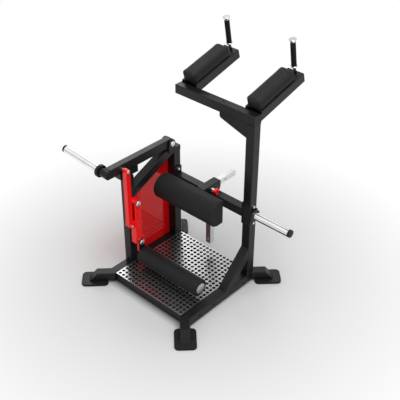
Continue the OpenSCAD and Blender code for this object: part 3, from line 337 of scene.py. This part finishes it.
# %% Dress the CAD nodes
NODE_FINISHES = {
    FRAME_BLACK: (
        "side_tubes", "cross_tubes", "leg_tubes", "front_left_post", "rear_left_post",
        "diagonal_brace", "lever_bracket", "mid_crossbar", "crossbar_flanges",
        "right_upright", "lower_brace", "top_crossbar", "gusset_plate", "forearm_arms",
        "storage_hub", "lever_tube", "lever_block", "horn_boss", "roller_bracket",
        "slide_sleeve", "pad_mount", "handle_rods",
    ),
    FOOT_GREY: ("foot_plates",),
    RUBBER: ("foot_pads", "post_bumper", "handle_grips"),
    TREAD_STEEL: ("tread_plate",),
    PANEL_RED: ("side_panel",),
    ARM_RED: ("link_bar", "curl_arm"),
    KNOB_RED: ("height_pin", "depth_pin"),
    ZINC: ("pivot_shafts", "frame_bolts", "link_pin", "arm_bolts", "depth_spring",
           "height_spring"),
    CHROME: ("storage_sleeve", "horn_sleeve", "roller_axle", "roller_tube",
             "depth_pin_housing", "height_pin_housing"),
    SATIN_CHROME: ("mast_tube", "depth_tube"),
    ALLOY: ("roller_end_caps",),
    END_CHROME: ("grip_ends",),
    NYLON: ("tube_end_caps", "storage_cap", "horn_cap", "mast_bushing", "lever_bushes",
            "knee_bushes", "slide_bushings", "pad_boards"),
    VINYL: ("left_forearm_pad", "right_forearm_pad", "thigh_pad"),
    ROLLER_COVER: ("roller_foam",),
}
dressed = 0
for material, names in NODE_FINISHES.items():
    for name in names:
        mesh = NODES[name].data
        mesh.materials.clear()
        mesh.materials.append(material)
        dressed += 1
print("dressed", dressed, "of", len(NODES), "nodes")

# %% [markdown]
# New pieces are modelled as by hand: a primitive is added, its faces or edges
# are picked by their place, and operators shape them. These helpers do the
# picking, and settle a finished piece at the origin, where the frame wants it.
# A point that is NEAR enough to a plane counts as lying on it.

# %% Modelling helpers
def clear_selection():
    if bpy.context.object and bpy.context.object.mode != "OBJECT":
        bpy.ops.object.mode_set(mode="OBJECT")
    bpy.ops.object.select_all(action="DESELECT")


def take(piece):
    clear_selection()
    bpy.context.view_layer.objects.active = piece
    piece.select_set(True)


def start_piece(name, add, **how):
    clear_selection()
    add(**how)
    piece = bpy.context.object
    piece.name = name
    piece.data.name = name
    bpy.ops.object.transform_apply(location=True, rotation=True, scale=True)
    return piece


NEAR = 0.01 * MM


def pick(piece, kind, test):
    """Enters edit mode with the faces or edges that pass the test selected."""
    take(piece)
    bpy.ops.object.mode_set(mode="EDIT")
    bpy.ops.mesh.select_mode(type=kind)
    bpy.ops.mesh.select_all(action="DESELECT")
    bpy.ops.object.mode_set(mode="OBJECT")
    mesh = piece.data
    parts = mesh.polygons if kind == "FACE" else mesh.edges
    count = 0
    for part in parts:
        corners = [mesh.vertices[i].co for i in part.vertices]
        middle = sum(corners, Vector()) / len(corners)
        if kind == "FACE":
            chosen = test(middle, part.normal)
        else:
            chosen = test(middle, (corners[1] - corners[0]).normalized())
        part.select = bool(chosen)
        count += bool(chosen)
    bpy.ops.object.mode_set(mode="EDIT")
    return count


def leave_edit():
    bpy.ops.object.mode_set(mode="OBJECT")


def finish_modifier(piece, kind, **settings):
    take(piece)
    modifier = piece.modifiers.new(kind.lower(), kind)
    for key, value in settings.items():
        setattr(modifier, key, value)
    bpy.ops.object.modifier_apply(modifier=modifier.name)


def smooth(piece, degrees=35.0):
    take(piece)
    bpy.ops.object.shade_smooth_by_angle(angle=math.radians(degrees))


def place_mesh(piece, matrix):
    piece.data.transform(matrix)
    piece.data.update()


def settle(piece, material, body):
    piece.data.materials.clear()
    piece.data.materials.append(material)
    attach(piece, body)
    print(piece.name, len(piece.data.polygons), "faces on", body)


print("modelling helpers ready")

# %% [markdown]
# A cushion is a board, a block of foam and a tight vinyl cover. The cover
# pulls the foam's edges round and lets the middle swell. Cloth simulation
# gives that for little work: the rough form is remeshed evenly, blown up
# gently from inside, and no point may move further than a cap, so it keeps
# its place.

# %% The cushion maker
CLOTH_PRESSURE = 4.0
CLOTH_FRAMES = 20


def swell(piece, voxel, cap):
    """Remeshes a rough form evenly and lets gentle pressure crown it."""
    finish_modifier(piece, "REMESH", mode="VOXEL", voxel_size=voxel)
    before = np.empty(len(piece.data.vertices) * 3)
    piece.data.vertices.foreach_get("co", before)
    take(piece)
    cloth = piece.modifiers.new("cover", "CLOTH")
    cloth.settings.use_pressure = True
    cloth.settings.uniform_pressure_force = CLOTH_PRESSURE
    cloth.settings.effector_weights.gravity = 0.0
    cloth.settings.quality = 5
    cloth.point_cache.frame_start = 1
    cloth.point_cache.frame_end = CLOTH_FRAMES
    for number in range(1, CLOTH_FRAMES + 1):
        bpy.context.scene.frame_set(number)
    bpy.ops.object.modifier_apply(modifier=cloth.name)
    bpy.context.scene.frame_set(1)
    after = np.empty_like(before)
    piece.data.vertices.foreach_get("co", after)
    start = before.reshape(-1, 3)
    move = after.reshape(-1, 3) - start
    reach = np.linalg.norm(move, axis=1, keepdims=True)
    share = np.minimum(1.0, cap / np.maximum(reach, 1e-9))
    piece.data.vertices.foreach_set("co", (start + move * share).ravel())
    piece.data.update()
    print(piece.name, "swelled by up to", round(float((reach * share).max()) * 1000, 1), "mm")
    finish_modifier(piece, "SMOOTH", factor=0.5, iterations=2)
    finish_modifier(piece, "SUBSURF", levels=1, render_levels=1)
    smooth(piece, 60.0)


def keep_within(piece, axis, low, high):
    """Presses the cover flat where the pad meets its board."""
    for vertex in piece.data.vertices:
        vertex.co[axis] = min(max(vertex.co[axis], low), high)
    piece.data.update()


def fill_box(piece, low, high):
    """Stretches a cushion by the last few millimetres to the room it has."""
    spots = np.empty(len(piece.data.vertices) * 3)
    piece.data.vertices.foreach_get("co", spots)
    spots = spots.reshape(-1, 3)
    now_low, now_high = spots.min(axis=0), spots.max(axis=0)
    low, high = np.array(low), np.array(high)
    spots = low + (spots - now_low) * (high - low) / (now_high - now_low)
    piece.data.vertices.foreach_set("co", spots.ravel())
    piece.data.update()


print("cushion maker ready")

# %% [markdown]
# The thigh pad is D-shaped: flat against its steel mounting plate, round
# where the thighs press. A cylinder is cut in half along its length, the cut
# face is pulled back to the pad's full depth, and the rims at the two ends
# are rounded. Swelling then softens it into an upholstered form.

# %% The thigh pad
PAD_SLACK = 2 * MM
PAD_PROUD = (4 * MM, 1 * MM, 0)
PAD_RIM = 8 * MM
PAD_VOXEL = 4.5 * MM
PAD_SWELL = 3 * MM

pad_low, pad_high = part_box("thigh_pad")
pad_middle = (pad_low + pad_high) / 2
pad_radius = (pad_high.z - pad_low.z) / 2
core_radius = pad_radius - PAD_SLACK
core_axis_y = pad_low.y + pad_radius
thigh_pad = start_piece(
    "thigh_cushion", bpy.ops.mesh.primitive_cylinder_add, vertices=48, radius=core_radius,
    depth=pad_high.x - pad_low.x - 2 * PAD_SLACK, rotation=(0, math.pi / 2, 0),
    location=(pad_middle.x, core_axis_y, pad_middle.z),
)
take(thigh_pad)
bpy.ops.object.mode_set(mode="EDIT")
bpy.ops.mesh.select_all(action="SELECT")
bpy.ops.mesh.bisect(
    plane_co=(0, core_axis_y, 0), plane_no=(0, 1, 0), use_fill=True, clear_outer=True
)
leave_edit()
pick(thigh_pad, "FACE", lambda middle, normal: normal.y > 0.9)
bpy.ops.mesh.extrude_region_move(
    TRANSFORM_OT_translate={"value": (0, pad_high.y - core_axis_y, 0)}
)
leave_edit()
half_length = (pad_high.x - pad_low.x) / 2 - PAD_SLACK
rim_edges = pick(
    thigh_pad, "EDGE", lambda middle, along: abs(abs(middle.x - pad_middle.x) - half_length) < NEAR
)
bpy.ops.mesh.bevel(offset=PAD_RIM, segments=4)
leave_edit()
print("thigh pad:", rim_edges, "rim edges rounded")

# %% Swell the thigh pad and seat it on its plate
swell(thigh_pad, PAD_VOXEL, PAD_SWELL)
keep_within(thigh_pad, 1, pad_low.y, pad_high.y)
fill_box(thigh_pad, pad_low - Vector(PAD_PROUD), pad_high + Vector((PAD_PROUD[0], 0, 0)))
settle(thigh_pad, VINYL, "pad_slide")
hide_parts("thigh_pad")

# %% [markdown]
# The cover is sewn from a long sheet and two end panels, and the seam between
# them is a thin welt. The welt is drawn as an edge loop of the same D shape,
# pressed onto the finished cushion, and then given its thickness as a curve.
# A circle becomes the D by pulling its rear half back and squaring its corners.

# %% Welts at the thigh pad's ends
WELT_RADIUS = 1.3 * MM
WELT_INSET = 7 * MM
WELT_FROM_PLATE = 3 * MM
WELT_SQUARENESS = 4


def end_welt(name, side):
    loop = start_piece(
        name, bpy.ops.mesh.primitive_circle_add, vertices=64, radius=pad_radius,
        rotation=(0, math.pi / 2, 0),
        location=(pad_middle.x + side * (half_length - WELT_INSET), core_axis_y, pad_middle.z),
    )
    for vertex in loop.data.vertices:
        if vertex.co.y > core_axis_y:
            share = (vertex.co.y - core_axis_y) / pad_radius
            vertex.co.y = core_axis_y + share * (pad_high.y - core_axis_y - WELT_FROM_PLATE)
            height = vertex.co.z - pad_middle.z
            vertex.co.z = pad_middle.z + math.copysign(pad_radius, height) * min(
                1.0, abs(height) / pad_radius * WELT_SQUARENESS
            )
    finish_modifier(loop, "SHRINKWRAP", target=thigh_pad, wrap_method="NEAREST_SURFACEPOINT")
    take(loop)
    bpy.ops.object.convert(target="CURVE")
    bpy.context.object.data.bevel_depth = WELT_RADIUS
    bpy.context.object.data.bevel_resolution = 3
    bpy.ops.object.convert(target="MESH")
    welt = bpy.context.object
    smooth(welt, 60.0)
    settle(welt, VINYL, "pad_slide")


for name, side in (("thigh_welt_left", -1), ("thigh_welt_right", 1)):
    end_welt(name, side)

# %% [markdown]
# The forearm pads lie on sloping arms. Each is a long block with straight
# sides, round corners and a softly rolled top edge. Its cover is turned down
# over the board below, so it is a little wider than the foam. It is modelled
# level, swelled once, then copied to both arms and tilted with them.

# %% The shape of a forearm pad
ARM_TILT = math.radians(15)
ARM_STARTS = {"left": from_base(-208, 305, 1233), "right": from_base(290, 305, 1233)}
REST_LOW = Vector((-53, -5, 0.5)) * MM
REST_HIGH = Vector((56, 335, 63)) * MM
REST_SLACK = 2 * MM
REST_CORNER = 22 * MM
REST_ROLL = 9 * MM
REST_VOXEL = 4 * MM
REST_SWELL = 2 * MM


def arm_matrix(side):
    return Matrix.Translation(ARM_STARTS[side]) @ Matrix.Rotation(ARM_TILT, 4, "X")


rest_form = start_piece(
    "forearm_cushion_left", bpy.ops.mesh.primitive_cube_add, size=1,
    location=(REST_LOW + REST_HIGH) / 2,
    scale=REST_HIGH - REST_LOW - 2 * Vector((REST_SLACK, REST_SLACK, REST_SLACK)),
)
pick(rest_form, "EDGE", lambda middle, along: abs(along.z) > 0.7)
bpy.ops.mesh.bevel(offset=REST_CORNER, segments=6)
leave_edit()
rest_top = REST_HIGH.z - REST_SLACK
pick(rest_form, "EDGE", lambda middle, along: middle.z > rest_top - NEAR)
bpy.ops.mesh.bevel(offset=REST_ROLL, segments=4)
leave_edit()
swell(rest_form, REST_VOXEL, REST_SWELL)
keep_within(rest_form, 2, REST_LOW.z, REST_HIGH.z)
fill_box(rest_form, REST_LOW, REST_HIGH)
print("forearm pad:", [round(v, 3) for v in rest_form.dimensions])

# %% Copy the forearm pad to both arms
rest_right = rest_form.copy()
rest_right.data = rest_form.data.copy()
rest_right.name = "forearm_cushion_right"
bpy.context.scene.collection.objects.link(rest_right)
for piece, side in ((rest_form, "left"), (rest_right, "right")):
    place_mesh(piece, arm_matrix(side))
    settle(piece, VINYL, "frame")
    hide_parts(side + "_forearm_pad")

# %% [markdown]
# The ankle roller is a firm foam tube in a smooth cover. It is a cylinder
# whose end faces are inset and pushed in a little, so the bright end caps
# sit in a shallow ring of foam, and its rims are rounded.

# %% The ankle roller's foam
FOAM_SLACK = 0.5 * MM
FOAM_RING = 14 * MM
FOAM_STEP = 1.5 * MM
FOAM_RIM = 7 * MM

foam_low, foam_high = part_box("roller_foam")
foam_middle = (foam_low + foam_high) / 2
foam_radius = (foam_high.z - foam_low.z) / 2
foam_half = (foam_high.x - foam_low.x) / 2
roller = start_piece(
    "roller_foam_cover", bpy.ops.mesh.primitive_cylinder_add, vertices=128,
    radius=foam_radius - FOAM_SLACK, depth=2 * foam_half, rotation=(0, math.pi / 2, 0),
    location=foam_middle,
)
pick(roller, "FACE", lambda middle, normal: abs(normal.x) > 0.9)
bpy.ops.mesh.inset(thickness=FOAM_RING, use_individual=True)
bpy.ops.mesh.inset(thickness=FOAM_STEP, depth=-FOAM_STEP, use_individual=True)
leave_edit()


def on_foam_rim(middle, along):
    out = math.hypot(middle.y - foam_middle.y, middle.z - foam_middle.z)
    at_end = abs(abs(middle.x - foam_middle.x) - foam_half) < NEAR
    return at_end and out > foam_radius - 2 * MM


rounded_rims = pick(roller, "EDGE", on_foam_rim)
bpy.ops.mesh.bevel(offset=FOAM_RIM, segments=5)
leave_edit()
smooth(roller, 40.0)
settle(roller, ROLLER_COVER, "ankle_roller")
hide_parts("roller_foam")
print("roller:", rounded_rims, "rim edges rounded")

# %% [markdown]
# The handle grips are rubber tubes with fine ribs along them and a plain
# band at each end. Every second strip of a many-sided cylinder is pushed in,
# between two cuts that keep the end bands whole.

# %% A ribbed grip
GRIP_RADIUS = 16.5 * MM
GRIP_LENGTH = 159 * MM
GRIP_BAND = 7 * MM
GRIP_SIDES = 56
GRIP_RIM = 1.2 * MM
GROOVE_WALL = 0.25 * MM
GROOVE_DEPTH = 0.7 * MM
GRIP_ALONG_ARM = 386 * MM
GRIP_ABOVE_ARM = 44 * MM
GRIP_LEAN = math.radians(10.5)

grip = start_piece(
    "grip_sleeve_left", bpy.ops.mesh.primitive_cylinder_add, vertices=GRIP_SIDES,
    radius=GRIP_RADIUS, depth=GRIP_LENGTH, location=(0, 0, GRIP_LENGTH / 2),
)
for cut in (GRIP_BAND, GRIP_LENGTH - GRIP_BAND):
    take(grip)
    bpy.ops.object.mode_set(mode="EDIT")
    bpy.ops.mesh.select_all(action="SELECT")
    bpy.ops.mesh.bisect(plane_co=(0, 0, cut), plane_no=(0, 0, 1))
    leave_edit()


def on_groove(middle, normal):
    strip = int(math.atan2(middle.y, middle.x) / (2 * math.pi / GRIP_SIDES) + GRIP_SIDES)
    between = GRIP_BAND < middle.z < GRIP_LENGTH - GRIP_BAND
    return abs(normal.z) < 0.5 and between and strip % 2 == 0


grooves = pick(grip, "FACE", on_groove)
bpy.ops.mesh.inset(thickness=GROOVE_WALL, use_individual=True)
bpy.ops.transform.shrink_fatten(value=-GROOVE_DEPTH)
leave_edit()
pick(grip, "EDGE", lambda middle, along: abs(middle.z - GRIP_LENGTH / 2) > GRIP_LENGTH / 2 - NEAR)
bpy.ops.mesh.bevel(offset=GRIP_RIM, segments=3)
leave_edit()
smooth(grip, 25.0)
print("grip:", grooves, "grooves")

# %% Put a grip on each handle
grip_right = grip.copy()
grip_right.data = grip.data.copy()
grip_right.name = "grip_sleeve_right"
bpy.context.scene.collection.objects.link(grip_right)
grip_seat = (
    Matrix.Translation((0, GRIP_ALONG_ARM, GRIP_ABOVE_ARM))
    @ Matrix.Rotation(GRIP_LEAN - ARM_TILT, 4, "X")
)
for piece, side in ((grip, "left"), (grip_right, "right")):
    place_mesh(piece, arm_matrix(side) @ grip_seat)
    settle(piece, RUBBER, "frame")
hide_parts("handle_grips")
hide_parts("handle_grips")

# %% [markdown]
# The pivots are held by button-head screws with hexagon sockets. The CAD has
# the plain heads. A smaller domed button with its socket is set on each, cut
# with a six-sided prism. Each row of the list gives the button's name and
# body, the middle of its seat, the side it faces and its radius, both in mm.

# %% Socket buttons on the pivot heads
BUTTON_HEIGHT = 2.2 * MM
BUTTON_RIM = 0.9 * MM
SOCKET_SHARE = 0.55
SOCKET_LIFT = 0.4 * MM
SCREWS = (
    ("knee_button", "frame", (-224.7, -136, 557), 1, 13.0),
    ("lever_button_inner", "frame", (-276, 226, 808), 1, 13.0),
    ("lever_button_outer", "frame", (-364, 226, 808), -1, 13.0),
    ("bracket_button", "curl_lever", (-221, -124, 252), 1, 13.0),
    ("lug_button", "curl_lever", (-229, -192, 410), 1, 6.5),
    ("link_button", "link", (-236, -192, 808), 1, 9.0),
)


def socket_button(name, body, place, side, radius_mm):
    radius = radius_mm * MM
    middle = from_base(*place) + Vector((side * BUTTON_HEIGHT / 2, 0, 0))
    lying = (0, math.pi / 2, 0)
    button = start_piece(
        name, bpy.ops.mesh.primitive_cylinder_add, vertices=40, radius=radius,
        depth=BUTTON_HEIGHT, rotation=lying, location=middle,
    )
    face_x = middle.x + side * BUTTON_HEIGHT / 2
    pick(button, "EDGE", lambda spot, along: abs(spot.x - face_x) < NEAR)
    bpy.ops.mesh.bevel(offset=BUTTON_RIM, segments=3)
    leave_edit()
    cutter = start_piece(
        "socket_cutter", bpy.ops.mesh.primitive_cylinder_add, vertices=6,
        radius=radius * SOCKET_SHARE, depth=BUTTON_HEIGHT, rotation=lying,
        location=middle + Vector((side * SOCKET_LIFT, 0, 0)),
    )
    finish_modifier(button, "BOOLEAN", object=cutter, operation="DIFFERENCE")
    bpy.data.objects.remove(cutter)
    smooth(button, 30.0)
    settle(button, ZINC, body)


for screw in SCREWS:
    socket_button(*screw)

# %% [markdown]
# The studio is a pale floor under an even dome of light. Seen directly, the
# world is white. In mirrors it has a dim band along the horizon, as a room has
# between its floor and its lit ceiling, and a dark gap overhead, as between
# two light panels. They draw the thin dark lines along the chrome.

# %% The world
MIRRORED_SKY = ((0.0, 0.08), (0.07, 0.20), (0.2, 0.95), (1.0, 1.0))
LIGHT_GAP = (0.19, 0.06)
GAP_DARK = 0.12
ROOM_LIGHT = 0.68


def studio_world():
    world = bpy.data.worlds.new("studio")
    world.use_nodes = True
    tree = world.node_tree
    tree.nodes.clear()
    add = tree.nodes.new
    place = add("ShaderNodeTexCoord")
    split = add("ShaderNodeSeparateXYZ")
    ramp = add("ShaderNodeValToRGB")
    seen = add("ShaderNodeBackground")
    room = add("ShaderNodeBackground")
    path = add("ShaderNodeLightPath")
    mix = add("ShaderNodeMixShader")
    out = add("ShaderNodeOutputWorld")
    tree.links.new(place.outputs["Generated"], split.inputs[0])
    tree.links.new(split.outputs["Z"], ramp.inputs[0])
    stops = ramp.color_ramp.elements
    while len(stops) < len(MIRRORED_SKY):
        stops.new(0.5)
    for stop, (height, glow) in zip(stops, MIRRORED_SKY):
        stop.position = height
        stop.color = (glow, glow, glow, 1)

    def join(operation, first, second):
        made = add("ShaderNodeMath")
        made.operation = operation
        tree.links.new(first, made.inputs[0])
        tree.links.new(second, made.inputs[1])
        return made.outputs[0]

    gap = add("ShaderNodeMath")
    gap.operation = "COMPARE"
    tree.links.new(split.outputs["Y"], gap.inputs[0])
    gap.inputs[1].default_value, gap.inputs[2].default_value = LIGHT_GAP
    shade = add("ShaderNodeMath")
    shade.operation = "MULTIPLY_ADD"
    tree.links.new(gap.outputs[0], shade.inputs[0])
    shade.inputs[1].default_value = GAP_DARK - 1
    shade.inputs[2].default_value = 1
    glow = join("MINIMUM", ramp.outputs[0], shade.outputs[0])
    camera_ray = path.outputs["Is Camera Ray"]
    tree.links.new(join("MAXIMUM", glow, camera_ray), seen.inputs["Color"])
    mirrored = join("MAXIMUM", path.outputs["Is Glossy Ray"], path.outputs["Is Transmission Ray"])
    tree.links.new(join("MAXIMUM", camera_ray, mirrored), mix.inputs[0])
    room.inputs["Color"].default_value = (1, 1, 1, 1)
    room.inputs["Strength"].default_value = ROOM_LIGHT
    tree.links.new(room.outputs[0], mix.inputs[1])
    tree.links.new(seen.outputs[0], mix.inputs[2])
    tree.links.new(mix.outputs[0], out.inputs[0])
    bpy.context.scene.world = world


studio_world()
print("world ready")

# %% [markdown]
# Near the machine the floor is plain pale paint, so it takes the machine's
# soft shadow. Further out it fades into a white sweep, as studio paper does.
# Only rays that are seen, straight or in a mirror, meet the white, so the
# sweep adds no light to the machine. Under the tread plate a near-black
# patch is painted on the floor as painted shadow, so the holes in the plate read black.

# %% The floor
FLOOR_SIZE = 24
FLOOR_PALE = 0.68
SWEEP_START = 0.6
SWEEP_END = 1.7
# Painted shadow under the base: its darkness, and its half-width and soft edge in metres.
PAINTED_SHADOW_DARK = 0.02
PAINTED_SHADOW_REACH = 0.36
PAINTED_SHADOW_EDGE = 0.08

clear_selection()
bpy.ops.mesh.primitive_plane_add(size=FLOOR_SIZE)
studio_floor = bpy.context.object
studio_floor.name = "studio_floor"
floor_finish = Finish("studio_floor_paint", (FLOOR_PALE, FLOOR_PALE, FLOOR_PALE), 0.9)
machine_ground = floor_finish.node(
    "ShaderNodeVectorMath", {"operation": "SUBTRACT"}, {0: floor_finish.place, 1: BASE_MIDDLE}
)["Vector"]
split = floor_finish.node("ShaderNodeSeparateXYZ", {}, {0: machine_ground})
across = split["X"].maths("ABSOLUTE", split["X"], 0)
along = split["Y"].maths("ABSOLUTE", split["Y"], 0)
reach = across.maths("MAXIMUM", across, along)
# Painted shadow: inside the base's square the floor's colour turns near black, where the machine's
# shade falls.
painted_shadow_mask = ((PAINTED_SHADOW_REACH - reach) * (1 / PAINTED_SHADOW_EDGE)).clamp(0, 1)
floor_finish.feed("Base Color", floor_finish.shades(
    painted_shadow_mask, [(0.0, (FLOOR_PALE,) * 3), (1.0, (PAINTED_SHADOW_DARK,) * 3)]
))
away = floor_finish.node(
    "ShaderNodeVectorMath", {"operation": "LENGTH"}, {0: floor_finish.place}
)["Value"]
fade = ((away - SWEEP_START) * (1 / (SWEEP_END - SWEEP_START))).clamp(0, 1)
ray = floor_finish.node("ShaderNodeLightPath", {}, {})
seen = (ray["Is Camera Ray"] + ray["Is Glossy Ray"] + ray["Is Transmission Ray"]).clamp(0, 1)
sweep = floor_finish.node("ShaderNodeEmission", {}, {"Color": (1, 1, 1, 1), "Strength": 1.0})[0]
blend = floor_finish.node(
    "ShaderNodeMixShader", {}, {0: fade * seen, 1: floor_finish.shader[0], 2: sweep}
)[0]
floor_finish.node("ShaderNodeOutputMaterial", {"is_active_output": True}, {"Surface": blend})
studio_floor.data.materials.append(floor_finish.material)
print("floor ready")

# %% [markdown]
# Two square softboxes light the machine. A large one hangs above its right
# front and throws the soft shadow to the left and back. A smaller one stands
# behind it to the left, and its reflection runs along the tops of the tubes.

# %% Lamps
def softbox(name, place, aim, size, power):
    data = bpy.data.lights.new(name, "AREA")
    data.shape = "SQUARE"
    data.size = size
    data.energy = power
    lamp = bpy.data.objects.new(name, data)
    bpy.context.scene.collection.objects.link(lamp)
    lamp.matrix_world = Matrix.Translation(place) @ (
        (Vector(aim) - Vector(place)).to_track_quat("-Z", "Y").to_matrix().to_4x4()
    )


softbox("ceiling_softbox", (1.5, -0.5, 4.0), (0, 0, 0.6), 2.6, 72)
softbox("rear_softbox", (-3.4, 2.4, 3.0), (-0.2, 0, 0.8), 1.6, 28)
bpy.context.scene.view_settings.view_transform = "Standard"
print("studio ready")
